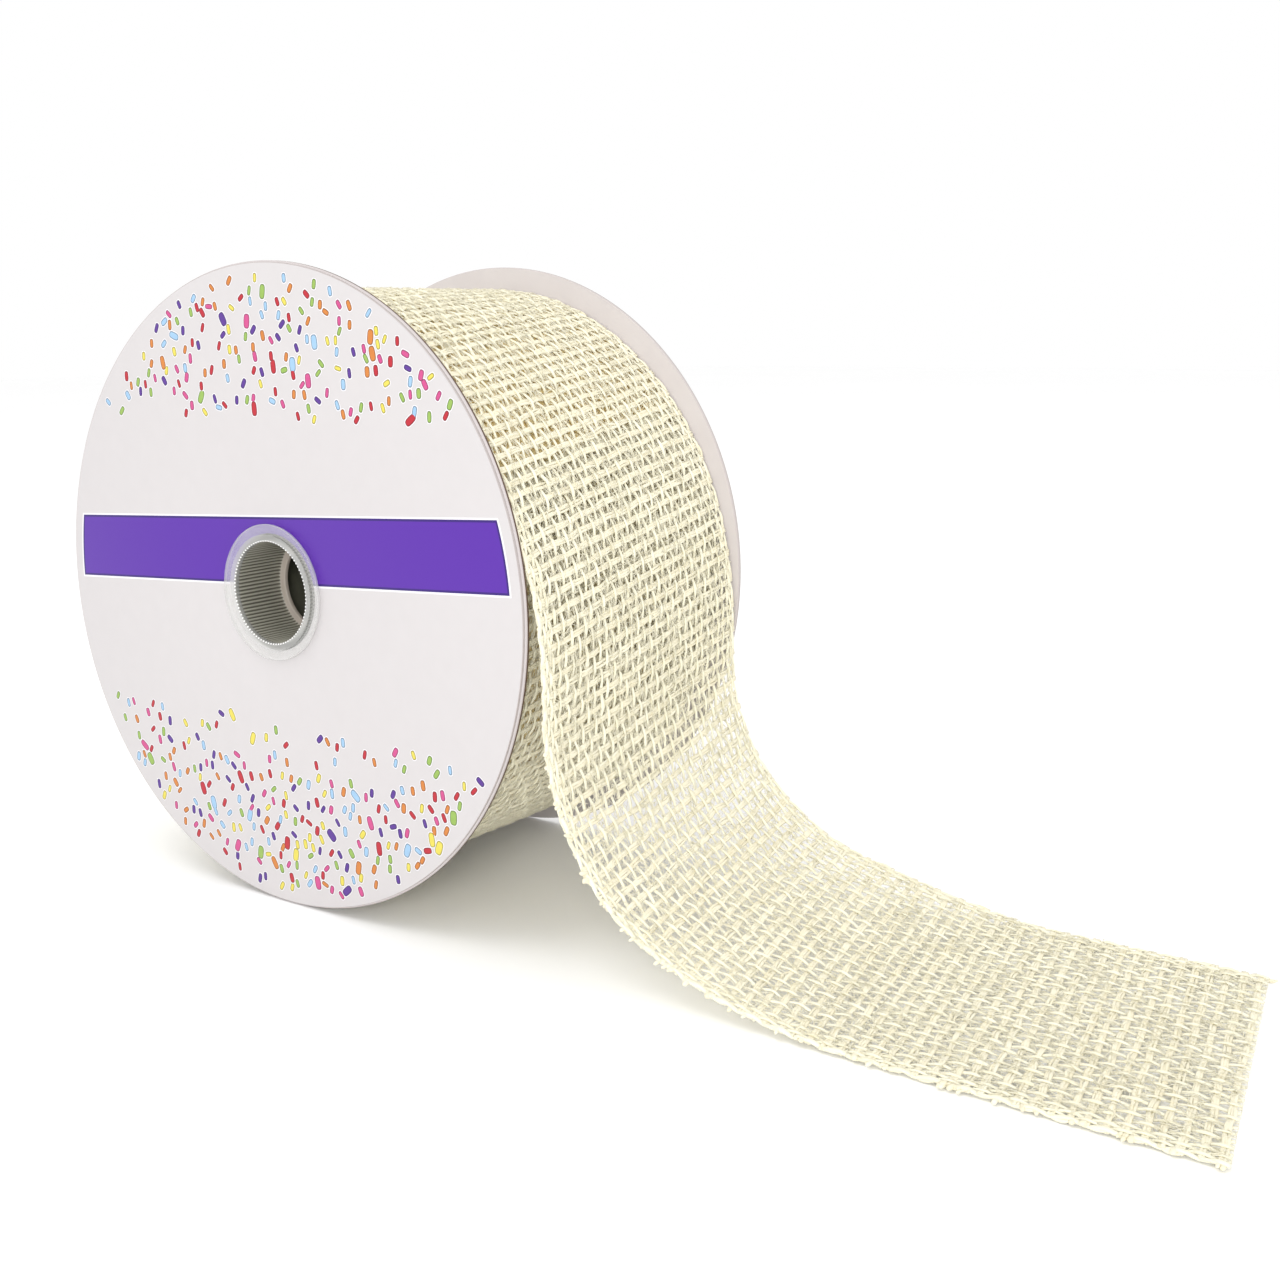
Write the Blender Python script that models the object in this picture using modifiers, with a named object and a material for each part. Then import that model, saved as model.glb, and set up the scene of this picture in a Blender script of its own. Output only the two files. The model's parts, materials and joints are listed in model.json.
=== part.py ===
"""Ribbon spool with its ribbon drawn off.

Two paperboard flanges are held on a board core by two plastic hub plugs, and the
core is wound with burlap ribbon. The spool's axis runs along Y, the printed flange
faces -Y, +Z is up and the floor is Z = 0. The ribbon leaves the roll on the +X side
and lies on the floor along +X. The origin is at the middle of the base.
"""
import math

import bmesh
import bpy

# Driving dimensions, in metres.
FLANGE_RADIUS = 0.060
BOARD_THICKNESS = 0.0008
LABEL_THICKNESS = 0.0002
LABEL_MARGIN = 0.0003
HALF_SPOOL_WIDTH = 0.0331
GAP = 0.0003

RIBBON_WIDTH = 0.0635
RIBBON_THICKNESS = 0.0010
ROLL_OUTER_RADIUS = 0.0555

CORE_OUTER_RADIUS = 0.0124
CORE_INNER_RADIUS = 0.0109
BORE_RADIUS = 0.0095
BARREL_RADIUS = 0.0106
COLLAR_RADIUS = 0.0127
COLLAR_THICKNESS = 0.0007
LIP_RADIUS = 0.00815
LIP_DEPTH = 0.0100
LIP_THICKNESS = 0.0009

TAPE_THICKNESS = 0.00015
TAPE_LENGTH = 0.0180
TAPE_WIDTH = 0.0480

# The ribbon's way off the roll: it leaves the last turn, swings out until it hangs
# straight down, turns on the foot bend and the run-out bend, and lies on the floor.
TAKEOFF_ANGLE = math.radians(60.0)
SWING_RADIUS = 0.066
FOOT_BEND_RADIUS = 0.038
RUN_OUT_RADIUS = 0.125
RUN_OUT_SLOPE = math.radians(19.0)
TAIL_REACH = 0.168
CUT_SKEW = math.radians(10.0)
LAST_TURN_ANGLE = math.radians(330.0)
LIFT_REACH = 0.096
TIP_REACH = 0.131

DISC_STEPS = 128
ROLL_STEPS = 96
HUB_STEPS = 64
STRIP_STEP = math.radians(7.5)
MERGE = 0.00001

# Worked out from the driving dimensions.
LABEL_FACE = -HALF_SPOOL_WIDTH
FRONT_BOARD_OUTER = LABEL_FACE + LABEL_THICKNESS + GAP
FRONT_BOARD_INNER = FRONT_BOARD_OUTER + BOARD_THICKNESS
REAR_BOARD_INNER = HALF_SPOOL_WIDTH - BOARD_THICKNESS
RIBBON_FRONT = FRONT_BOARD_INNER + GAP
RIBBON_REAR = RIBBON_FRONT + RIBBON_WIDTH
RIBBON_MIDDLE = (RIBBON_FRONT + RIBBON_REAR) / 2
CUT_LEAD = math.tan(CUT_SKEW) * RIBBON_WIDTH / 2
AXIS_X = (FLANGE_RADIUS - TAIL_REACH - CUT_LEAD) / 2
AXIS_Z = FLANGE_RADIUS
TURN_RADIUS = ROLL_OUTER_RADIUS - RIBBON_THICKNESS / 2
WOUND_RADIUS = ROLL_OUTER_RADIUS - RIBBON_THICKNESS - GAP
WINDING_INNER_RADIUS = CORE_OUTER_RADIUS + GAP + TAPE_THICKNESS + GAP


def clear_scene():
    for obj in list(bpy.data.objects):
        bpy.data.objects.remove(obj, do_unlink=True)


def make_collection(name):
    collection = bpy.data.collections.new(name)
    bpy.context.scene.collection.children.link(collection)
    return collection


def make_material(name, color, roughness, metallic=0.0):
    material = bpy.data.materials.new(name)
    material.use_nodes = True
    shader = material.node_tree.nodes["Principled BSDF"]
    shader.inputs["Base Color"].default_value = (*color, 1.0)
    shader.inputs["Roughness"].default_value = roughness
    shader.inputs["Metallic"].default_value = metallic
    return material


def add_object(name, mesh, material, parent=None):
    obj = bpy.data.objects.new(name, mesh)
    mesh.materials.append(material)
    spool_parts.objects.link(obj)
    obj.parent = parent
    return obj


def add_pivot(name, x, z):
    """An empty on a joint's axis, with its local Z along the world's Y."""
    pivot = bpy.data.objects.new(name, None)
    pivot.location = (x, 0.0, z)
    pivot.rotation_euler = (math.radians(-90.0), 0.0, 0.0)
    spool_parts.objects.link(pivot)
    return pivot


def turned(name, profile, steps, material, parent):
    """A closed profile of (radius, width position) points, turned about the spool's axis."""
    mesh = bpy.data.meshes.new(name)
    count = len(profile)
    points = [(radius, 0.0, along) for radius, along in profile]
    mesh.from_pydata(points, [(i, (i + 1) % count) for i in range(count)], [])
    obj = add_object(name, mesh, material, parent)
    screw = obj.modifiers.new("turn", "SCREW")
    screw.axis = "Z"
    screw.angle = math.tau
    screw.screw_offset = 0.0
    screw.steps = steps
    screw.render_steps = steps
    screw.use_merge_vertices = True
    screw.merge_threshold = MERGE
    screw.use_smooth_shade = False
    # Half a step of turn sets a flat of the many-sided rim, not a corner, on the floor.
    obj.rotation_euler = (0.0, 0.0, math.pi / steps)
    return obj


def ring(name, inner, outer, low, high, steps, material, parent):
    profile = [(outer, high), (outer, low), (inner, low), (inner, high)]
    return turned(name, profile, steps, material, parent)


def hub_plug(name, side, material, parent):
    """A collar on the flange, a barrel in the core and a stop lip at its inner end."""
    face = HALF_SPOOL_WIDTH + GAP
    nose = face + COLLAR_THICKNESS
    lip_out = HALF_SPOOL_WIDTH - LIP_DEPTH
    lip_in = lip_out - LIP_THICKNESS
    profile = [
        (COLLAR_RADIUS, nose), (COLLAR_RADIUS, face), (BARREL_RADIUS, face),
        (BARREL_RADIUS, lip_in), (LIP_RADIUS, lip_in), (LIP_RADIUS, lip_out),
        (BORE_RADIUS, lip_out), (BORE_RADIUS, nose),
    ]
    if side < 0:
        profile = [(radius, -along) for radius, along in reversed(profile)]
    return turned(name, profile, HUB_STEPS, material, parent)


def tail_stretches():
    """The drawn-off ribbon as (length, heading at the start, heading at the end)."""
    down = -math.pi / 2
    start = TAKEOFF_ANGLE + down
    swing_drop = SWING_RADIUS * (math.cos(start) - math.cos(down))
    bend_drop = FOOT_BEND_RADIUS * math.cos(RUN_OUT_SLOPE)
    run_drop = RUN_OUT_RADIUS * (1 - math.cos(RUN_OUT_SLOPE))
    takeoff_height = AXIS_Z + TURN_RADIUS * math.sin(TAKEOFF_ANGLE)
    hang = takeoff_height - RIBBON_THICKNESS / 2 - swing_drop - bend_drop - run_drop
    run_out_end = (
        TURN_RADIUS * math.cos(TAKEOFF_ANGLE)
        + SWING_RADIUS * (math.sin(start) - math.sin(down))
        + FOOT_BEND_RADIUS * (1 - math.sin(RUN_OUT_SLOPE))
        + RUN_OUT_RADIUS * math.sin(RUN_OUT_SLOPE)
    )
    return [
        (SWING_RADIUS * (start - down), start, down),
        (hang, down, down),
        (FOOT_BEND_RADIUS * (math.pi / 2 - RUN_OUT_SLOPE), down, -RUN_OUT_SLOPE),
        (RUN_OUT_RADIUS * RUN_OUT_SLOPE, -RUN_OUT_SLOPE, 0.0),
        (TAIL_REACH - run_out_end, 0.0, 0.0),
    ]


def tail_point(distance):
    """(x, z, heading) of the ribbon's middle, this far along it from the take-off."""
    x = AXIS_X + TURN_RADIUS * math.cos(TAKEOFF_ANGLE)
    z = AXIS_Z + TURN_RADIUS * math.sin(TAKEOFF_ANGLE)
    heading = TAKEOFF_ANGLE - math.pi / 2
    left = distance
    for length, start, end in tail_stretches():
        step = min(left, length)
        heading = start + (end - start) * step / length
        if start == end:
            x += step * math.cos(start)
            z += step * math.sin(start)
        else:
            radius = length / (end - start)
            x += radius * (math.sin(heading) - math.sin(start))
            z -= radius * (math.cos(heading) - math.cos(start))
        left -= step
        if left <= 0:
            break
    return x, z, heading


def reach_to_distance(reach):
    """The distance along the tail at which it lies this far from the spool's axis."""
    low, high = 0.0, sum(length for length, _, _ in tail_stretches())
    for _ in range(50):
        middle = (low + high) / 2
        if tail_point(middle)[0] - AXIS_X < reach:
            low = middle
        else:
            high = middle
    return low


def upper_face_point(distance):
    """(x, z) on the ribbon's upper face, where a fold upwards has its hinge line."""
    x, z, heading = tail_point(distance)
    half = RIBBON_THICKNESS / 2
    return x - half * math.sin(heading), z + half * math.cos(heading)


def tail_stations(start, end):
    """Distances from start to end, closer together where the ribbon bends."""
    marks = {start, end}
    done = 0.0
    for length, heading_in, heading_out in tail_stretches():
        pieces = max(1, math.ceil(abs(heading_out - heading_in) / STRIP_STEP))
        for i in range(pieces + 1):
            marks.add(done + length * i / pieces)
        done += length
    return sorted(mark for mark in marks if start <= mark <= end)


def ribbon_strip(name, stations, material, parent=None, lead_at_end=0.0):
    """A strip of ribbon as an open surface along its middle, thickened by Solidify.

    Each station is (x, z); lead_at_end slants the last cut, front edge ahead.
    """
    shape = bmesh.new()
    pivot_x, pivot_z = (parent.location.x, parent.location.z) if parent else (0.0, 0.0)
    rows = []
    for i, (x, z) in enumerate(stations):
        lead = lead_at_end if i == len(stations) - 1 else 0.0
        row = []
        for y, side in ((RIBBON_FRONT, 1), (RIBBON_REAR, -1)):
            px = x + side * lead - pivot_x
            pz = z - pivot_z
            row.append(shape.verts.new((px, -pz, y) if parent else (px, y, pz)))
        rows.append(row)
    for (a, b), (c, d) in zip(rows, rows[1:]):
        shape.faces.new((a, c, d, b))
    bmesh.ops.recalc_face_normals(shape, faces=shape.faces)
    mesh = bpy.data.meshes.new(name)
    shape.to_mesh(mesh)
    shape.free()
    obj = add_object(name, mesh, material, parent)
    thick = obj.modifiers.new("thickness", "SOLIDIFY")
    thick.thickness = RIBBON_THICKNESS
    thick.offset = 0.0
    thick.use_even_offset = True
    return obj


def last_turn_stations():
    """The last turn, from the take-off back over the top and round the roll."""
    start = TAKEOFF_ANGLE + GAP / TURN_RADIUS
    count = math.ceil(LAST_TURN_ANGLE / math.radians(3.75))
    angles = [start + LAST_TURN_ANGLE * i / count for i in range(count + 1)]
    return [
        (AXIS_X + TURN_RADIUS * math.cos(angle), AXIS_Z + TURN_RADIUS * math.sin(angle))
        for angle in angles
    ]


def tape_strip(name, material, parent):
    """Tape bent round the core over the ribbon's inner end."""
    radius = CORE_OUTER_RADIUS + GAP
    half_angle = TAPE_LENGTH / radius / 2
    steps = 12
    shape = bmesh.new()
    rows = []
    for i in range(steps + 1):
        angle = -half_angle + 2 * half_angle * i / steps
        x, y = radius * math.cos(angle), radius * math.sin(angle)
        ends = (RIBBON_MIDDLE - TAPE_WIDTH / 2, RIBBON_MIDDLE + TAPE_WIDTH / 2)
        rows.append([shape.verts.new((x, y, end)) for end in ends])
    for (a, b), (c, d) in zip(rows, rows[1:]):
        shape.faces.new((a, c, d, b))
    mesh = bpy.data.meshes.new(name)
    shape.to_mesh(mesh)
    shape.free()
    obj = add_object(name, mesh, material, parent)
    thick = obj.modifiers.new("thickness", "SOLIDIFY")
    thick.thickness = TAPE_THICKNESS
    thick.offset = 1.0
    return obj


def build_flanges(axis):
    board = make_material("flange_board", (0.86, 0.84, 0.83), 0.60)
    paper = make_material("label_paper", (0.90, 0.89, 0.90), 0.35)
    rim = FLANGE_RADIUS
    hole = CORE_INNER_RADIUS
    ring("front_flange", hole, rim, FRONT_BOARD_OUTER, FRONT_BOARD_INNER, DISC_STEPS, board, axis)
    ring("rear_flange", hole, rim, REAR_BOARD_INNER, HALF_SPOOL_WIDTH, DISC_STEPS, board, axis)
    ring("front_label", hole, rim - LABEL_MARGIN, LABEL_FACE, LABEL_FACE + LABEL_THICKNESS,
         DISC_STEPS, paper, axis)


def build_core(axis):
    plastic = make_material("hub_plastic", (0.80, 0.81, 0.80), 0.30)
    board = make_material("core_board", (0.42, 0.33, 0.23), 0.85)
    tape = make_material("tape", (0.75, 0.70, 0.58), 0.25)
    hub_plug("front_hub_plug", -1, plastic, axis)
    hub_plug("rear_hub_plug", 1, plastic, axis)
    ring("core_tube", CORE_INNER_RADIUS, CORE_OUTER_RADIUS, RIBBON_FRONT, RIBBON_REAR,
         HUB_STEPS, board, axis)
    tape_strip("core_tape", tape, axis)


def build_ribbon(axis):
    cloth = make_material("burlap", (0.86, 0.81, 0.64), 0.90)
    ring("ribbon_roll", WINDING_INNER_RADIUS, WOUND_RADIUS, RIBBON_FRONT, RIBBON_REAR,
         ROLL_STEPS, cloth, axis)
    ribbon_strip("ribbon_last_turn", last_turn_stations(), cloth)
    lift = reach_to_distance(LIFT_REACH)
    tip = reach_to_distance(TIP_REACH)
    end = reach_to_distance(TAIL_REACH)
    lift_pivot = add_pivot("tail_lift_pivot", *upper_face_point(lift))
    curl_pivot = add_pivot("tail_curl_pivot", *upper_face_point(tip))
    spans = [
        ("ribbon_takeoff", None, 0.0, lift - GAP / 2, 0.0),
        ("ribbon_tail", lift_pivot, lift + GAP / 2, tip - GAP / 2, 0.0),
        ("ribbon_end", curl_pivot, tip + GAP / 2, end, CUT_LEAD),
    ]
    for name, pivot, start, stop, lead in spans:
        stations = [tail_point(distance)[:2] for distance in tail_stations(start, stop)]
        ribbon_strip(name, stations, cloth, pivot, lead)


clear_scene()
spool_parts = make_collection("ribbon_spool")
spool_axis = add_pivot("spool_axis", AXIS_X, AXIS_Z)
build_flanges(spool_axis)
build_core(spool_axis)
build_ribbon(spool_axis)
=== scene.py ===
# %% [markdown]
# # A spool of burlap ribbon
# Two paperboard discs hold a roll of open-weave jute ribbon, and its loose end runs off
# onto the table. The solid model fixes where every piece sits. This lesson gives each
# piece its real surface: threads that are really woven, a printed label and a fluted,
# milky hub. Everything is in metres, with the spool's axis along Y.

# %% Load the frame
import json
import math

import bmesh
import bpy
import numpy as np
from mathutils import Matrix, Vector


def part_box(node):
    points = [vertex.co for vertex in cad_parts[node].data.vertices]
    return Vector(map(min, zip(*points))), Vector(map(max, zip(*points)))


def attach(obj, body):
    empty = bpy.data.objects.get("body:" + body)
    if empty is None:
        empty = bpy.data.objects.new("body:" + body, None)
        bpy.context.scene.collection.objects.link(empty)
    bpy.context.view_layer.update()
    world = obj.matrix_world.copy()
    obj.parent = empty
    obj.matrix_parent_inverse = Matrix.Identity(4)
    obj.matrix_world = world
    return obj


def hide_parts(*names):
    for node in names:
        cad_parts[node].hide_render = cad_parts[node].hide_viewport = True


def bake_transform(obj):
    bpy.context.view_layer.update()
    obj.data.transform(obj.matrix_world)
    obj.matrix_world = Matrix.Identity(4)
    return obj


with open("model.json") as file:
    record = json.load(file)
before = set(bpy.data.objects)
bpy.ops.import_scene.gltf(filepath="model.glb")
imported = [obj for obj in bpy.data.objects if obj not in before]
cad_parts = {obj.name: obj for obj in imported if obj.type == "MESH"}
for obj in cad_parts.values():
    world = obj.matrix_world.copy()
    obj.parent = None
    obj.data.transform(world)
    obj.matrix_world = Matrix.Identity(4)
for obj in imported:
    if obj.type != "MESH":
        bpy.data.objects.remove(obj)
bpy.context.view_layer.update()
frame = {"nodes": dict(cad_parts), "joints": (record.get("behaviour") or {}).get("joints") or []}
MM = 0.001
joint_at = {joint["name"]: joint["pos_m"] for joint in frame["joints"]}
AXIS_X, _, AXIS_Z = joint_at["spool_spin"]

# %% [markdown]
# ## Writing shader maths as Python
# A mask on a surface is a small sum: where is this point, and is it inside the stripe?
# Blender writes such sums as Math nodes. One small class wraps a node's output and adds
# those nodes when Python's own + - * / < > are used, so the sums stay readable.

# %% Shader helpers
class Wire:
    """One node output. Arithmetic on it adds Math nodes."""

    def __init__(self, finish, socket):
        self.finish = finish
        self.socket = socket

    def math(self, operation, first, second=0.0):
        return self.finish.node("ShaderNodeMath", {"operation": operation}, {0: first, 1: second})

    def __add__(self, other):
        return self.math("ADD", self, other)

    def __radd__(self, other):
        return self.math("ADD", other, self)

    def __sub__(self, other):
        return self.math("SUBTRACT", self, other)

    def __rsub__(self, other):
        return self.math("SUBTRACT", other, self)

    def __mul__(self, other):
        return self.math("MULTIPLY", self, other)

    def __rmul__(self, other):
        return self.math("MULTIPLY", other, self)

    def __gt__(self, other):
        return self.math("GREATER_THAN", self, other)

    def __lt__(self, other):
        return self.math("LESS_THAN", self, other)

    def size(self):
        return self.math("ABSOLUTE", self)

    def cosine(self):
        return self.math("COSINE", self)

    def root(self):
        return self.math("SQRT", self)


class Finish:
    """A material being made: its Principled shader and the nodes in front of it."""

    def __init__(self, name, plain):
        self.material = bpy.data.materials.new(name)
        self.material.use_nodes = True
        self.tree = self.material.node_tree
        self.shader = self.tree.nodes["Principled BSDF"]
        self.feed(self.shader, plain)

    def feed(self, node, inputs):
        for key, value in inputs.items():
            if isinstance(value, Wire):
                self.tree.links.new(value.socket, node.inputs[key])
            else:
                node.inputs[key].default_value = value

    def node(self, kind, settings, inputs, output=0):
        made = self.tree.nodes.new(kind)
        for key, value in settings.items():
            setattr(made, key, value)
        self.feed(made, inputs)
        return Wire(self, made.outputs[output])

    def mix(self, share, low, high):
        return self.node("ShaderNodeMix", {"data_type": "RGBA"}, {0: share, 6: low, 7: high}, 2)

    def place(self):
        return self.node("ShaderNodeTexCoord", {}, {}, "Object")

    def along(self, vector, axis):
        return self.node("ShaderNodeSeparateXYZ", {}, {0: vector}, axis)

    def noise(self, stretch, scale, detail=3.0):
        where = self.node("ShaderNodeVectorMath", {"operation": "MULTIPLY"}, {0: self.place(), 1: stretch})
        return self.node("ShaderNodeTexNoise", {}, {"Vector": where, "Scale": scale, "Detail": detail})

    def bump(self, height, distance, strength=1.0):
        ins = {"Height": height, "Distance": distance, "Strength": strength}
        self.feed(self.shader, {"Normal": self.node("ShaderNodeBump", {}, ins)})


def paint(red, green, blue):
    """A screen colour, 0 to 255, as the linear colour that a shader takes."""
    values = [level / 255 for level in (red, green, blue)]
    return (*[v / 12.92 if v <= 0.04045 else ((v + 0.055) / 1.055) ** 2.4 for v in values], 1.0)


print("cream thread in linear light:", [round(level, 3) for level in paint(240, 232, 203)])

# %% [markdown]
# ## Two ways to make a mesh
# Almost everything here is either turned on the spool's axis, like a flange, or swept
# along a line, like a thread. Blender's Screw modifier and bevelled curves do both, but
# a few thousand threads are quicker as arrays, so both are written as array sums.

# %% Mesh helpers
def mesh_piece(name, points, faces, materials, slots=None):
    mesh = bpy.data.meshes.new(name)
    mesh.from_pydata(points, [], faces)
    for material in materials:
        mesh.materials.append(material)
    if slots is not None:
        mesh.polygons.foreach_set("material_index", np.asarray(slots, np.int32))
    mesh.shade_smooth()
    mesh.update()
    piece = bpy.data.objects.new(name, mesh)
    bpy.context.scene.collection.objects.link(piece)
    return piece


def rounded(profile, cut, steps=4):
    """The closed profile with each corner eased off over the distance cut."""
    points = np.array(profile, float)
    eased = []
    for index, corner in enumerate(points):
        before, after = points[index - 1] - corner, points[(index + 1) % len(points)] - corner
        reach = min(cut, 0.45 * np.linalg.norm(before), 0.45 * np.linalg.norm(after))
        start = corner + before / np.linalg.norm(before) * reach
        end = corner + after / np.linalg.norm(after) * reach
        for t in np.linspace(0, 1, steps):
            eased.append((1 - t) ** 2 * start + 2 * t * (1 - t) * corner + t * t * end)
    return np.array(eased)


def turned(name, profile, steps, materials, flute=None, slots=(0,)):
    """A closed profile of (radius, y) points turned about the spool's axis.

    slots holds the number of the finish for each edge of the profile, or one for all.
    """
    angle = np.linspace(0, math.tau, steps, endpoint=False)[:, None]
    radius = np.repeat(profile[None, :, 0], steps, 0)
    if flute is not None:
        radius = radius + flute(angle, profile)
    across = np.repeat(profile[None, :, 1], steps, 0)
    points = np.stack([AXIS_X + radius * np.cos(angle), across, AXIS_Z + radius * np.sin(angle)], -1)
    count = len(profile)
    ring, spot = np.meshgrid(np.arange(steps), np.arange(count), indexing="ij")
    here, after = ring * count, (ring + 1) % steps * count
    step = (spot + 1) % count
    faces = np.stack([here + spot, here + step, after + step, after + spot], -1).reshape(-1, 4)
    worn = np.resize(slots, count)[np.tile(np.arange(count), steps)]
    piece = mesh_piece(name, points.reshape(-1, 3).tolist(), faces.tolist(), materials, worn)
    shell = bmesh.new()
    shell.from_mesh(piece.data)
    bmesh.ops.recalc_face_normals(shell, faces=shell.faces)
    shell.to_mesh(piece.data)
    shell.free()
    if flute is None:
        piece.data.set_sharp_from_angle(angle=math.radians(40))
    return piece


def unit(vectors):
    return vectors / np.linalg.norm(vectors, axis=-1, keepdims=True)


def swept(centres, outward, half_side, half_out, sides):
    """Closed tubes along rows of points: (points, faces), for arrays of (tube, step, xyz)."""
    tubes, steps = centres.shape[:2]
    ahead = unit(np.gradient(centres, axis=1))
    side = unit(np.cross(ahead, outward))
    out = np.cross(side, ahead)
    turn = np.linspace(0, math.tau, sides, endpoint=False)
    ring = (
        side[:, :, None] * (half_side[:, :, None] * np.cos(turn))[..., None]
        + out[:, :, None] * (half_out[:, :, None] * np.sin(turn))[..., None]
    )
    points = (centres[:, :, None] + ring).reshape(-1, 3)
    tube, step, spot = np.meshgrid(
        np.arange(tubes), np.arange(steps - 1), np.arange(sides), indexing="ij"
    )
    here = (tube * steps + step) * sides
    faces = np.stack(
        [here + spot, here + sides + spot, here + sides + (spot + 1) % sides, here + (spot + 1) % sides], -1
    )
    first = np.arange(tubes)[:, None] * steps * sides + np.arange(sides)
    last = first + (steps - 1) * sides
    return points, faces.reshape(-1, 4).tolist() + first.tolist() + last[:, ::-1].tolist()


print("a rounded square has", len(rounded([(0, 0), (1, 0), (1, 1), (0, 1)], 0.1)), "points")

# %% [markdown]
# ## The way the ribbon runs
# The last turn lies round the roll. At the take-off the ribbon swings out, hangs, bends
# at its foot and runs out flat on the table. Each stretch is an arc or a straight line,
# given by its length and its heading at both ends, so the whole way is one short list.

# %% The ribbon's path
turn_low, turn_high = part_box("ribbon_last_turn")
end_low, end_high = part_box("ribbon_end")
RIBBON_FRONT, RIBBON_WIDTH = turn_low.y, turn_high.y - turn_low.y
RIBBON_THICKNESS = end_high.z - end_low.z
TURN_RADIUS = turn_high.z - AXIS_Z - RIBBON_THICKNESS / 2
TAKEOFF_ANGLE = math.radians(60)
SWING_RADIUS, FOOT_BEND_RADIUS, RUN_OUT_RADIUS = 0.066, 0.038, 0.125
RUN_OUT_SLOPE = math.radians(19)
CUT_SKEW = math.tan(math.radians(10))
TAIL_REACH = end_high.x - AXIS_X - CUT_SKEW * RIBBON_WIDTH / 2


def tail_stretches():
    """The drawn-off ribbon as (length, heading at the start, heading at the end)."""
    down, start = -math.pi / 2, TAKEOFF_ANGLE - math.pi / 2
    swing_drop = SWING_RADIUS * (math.cos(start) - math.cos(down))
    bend_drop = FOOT_BEND_RADIUS * math.cos(RUN_OUT_SLOPE)
    run_drop = RUN_OUT_RADIUS * (1 - math.cos(RUN_OUT_SLOPE))
    height = AXIS_Z + TURN_RADIUS * math.sin(TAKEOFF_ANGLE) - RIBBON_THICKNESS / 2
    run_out_end = (
        TURN_RADIUS * math.cos(TAKEOFF_ANGLE)
        + SWING_RADIUS * (math.sin(start) - math.sin(down))
        + FOOT_BEND_RADIUS * (1 - math.sin(RUN_OUT_SLOPE))
        + RUN_OUT_RADIUS * math.sin(RUN_OUT_SLOPE)
    )
    return [
        (SWING_RADIUS * (start - down), start, down),
        (height - swing_drop - bend_drop - run_drop, down, down),
        (FOOT_BEND_RADIUS * (math.pi / 2 - RUN_OUT_SLOPE), down, -RUN_OUT_SLOPE),
        (RUN_OUT_RADIUS * RUN_OUT_SLOPE, -RUN_OUT_SLOPE, 0.0),
        (TAIL_REACH - run_out_end, 0.0, 0.0),
    ]


TAIL_LENGTH = sum(length for length, _, _ in tail_stretches())


def ribbon_path(along):
    """(x, z, heading) of the ribbon's middle. Distances below 0 lie back round the roll."""
    turned_back = TAKEOFF_ANGLE - np.minimum(along, 0) / TURN_RADIUS
    x = AXIS_X + TURN_RADIUS * np.cos(turned_back)
    z = AXIS_Z + TURN_RADIUS * np.sin(turned_back)
    heading = turned_back - math.pi / 2
    left = np.maximum(along, 0)
    stretches = tail_stretches()
    for index, (length, start, end) in enumerate(stretches):
        step = left if index == len(stretches) - 1 else np.minimum(left, length)
        at = start + (end - start) * step / length
        heading = np.where(left > 0, at, heading)
        if start == end:
            x, z = x + step * math.cos(start), z + step * math.sin(start)
        else:
            radius = length / (end - start)
            x = x + radius * (np.sin(at) - math.sin(start))
            z = z - radius * (np.cos(at) - math.cos(start))
        left = left - step
    return x, z, heading


def swell(value, low, high):
    """0 below low, 1 above high and a smooth rise between them."""
    share = np.clip((value - low) / (high - low), 0, 1)
    return share * share * (3 - 2 * share)


def twist(along, across):
    """How far the hanging ribbon stands off its path: its front edge leads, then trails."""
    lean = 0.5 - across / RIBBON_WIDTH
    hang = swell(along, 0.015, 0.065) * (1 - swell(along, 0.085, 0.118))
    foot = swell(along, 0.115, 0.135) * (1 - swell(along, 0.140, 0.165))
    return lean * (3.2 * MM * hang - 1.6 * MM * foot)


TABLE_ROOM = 0.25 * MM


def on_ribbon(along, across, lift):
    x, z, heading = ribbon_path(along)
    outward = np.stack([-np.sin(heading), 0 * heading, np.cos(heading)], -1)
    stand = lift + twist(along, across)
    points = np.stack([x, RIBBON_FRONT + across, z], -1) + outward * stand[..., None]
    points[..., 2] += TABLE_ROOM * swell(along, 0.10, 0.14)
    return points, outward


UNDER_RADIUS = TURN_RADIUS - 0.95 * MM


def on_roll(along, across, lift):
    angle = along / UNDER_RADIUS
    outward = np.stack([np.cos(angle), 0 * angle, np.sin(angle)], -1)
    middle = np.array([AXIS_X, RIBBON_FRONT, AXIS_Z])
    flat = np.stack([0 * across, across, 0 * across], -1)
    return middle + flat + outward * (UNDER_RADIUS + lift)[..., None], outward


print("the loose end is", round(TAIL_LENGTH, 4), "m long")

# %% [markdown]
# ## Jute thread
# Jute is a dry, pale bast fibre. Fine fibres lie along each thread and catch the light
# in streaks, so the bump noise is squeezed along the thread: wefts lie along Y, and warps
# run round in the XZ plane. Each thread also has its own shade, kept on the mesh.

# %% Thread finishes
def thread_finish(name, stretch, pale, deep):
    finish = Finish(name, {"Roughness": 0.9, "Sheen Weight": 0.15, "Sheen Roughness": 0.5})
    shade = finish.node("ShaderNodeAttribute", {"attribute_name": "thread_shade"}, {}, "Fac")
    fibres = finish.noise(stretch, 1.0)
    tone = shade * 0.6 + fibres * 0.9 - 0.25
    finish.feed(finish.shader, {"Base Color": finish.mix(tone, deep, pale)})
    finish.bump(fibres, 0.12 * MM, 0.8)
    return finish.material


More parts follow.
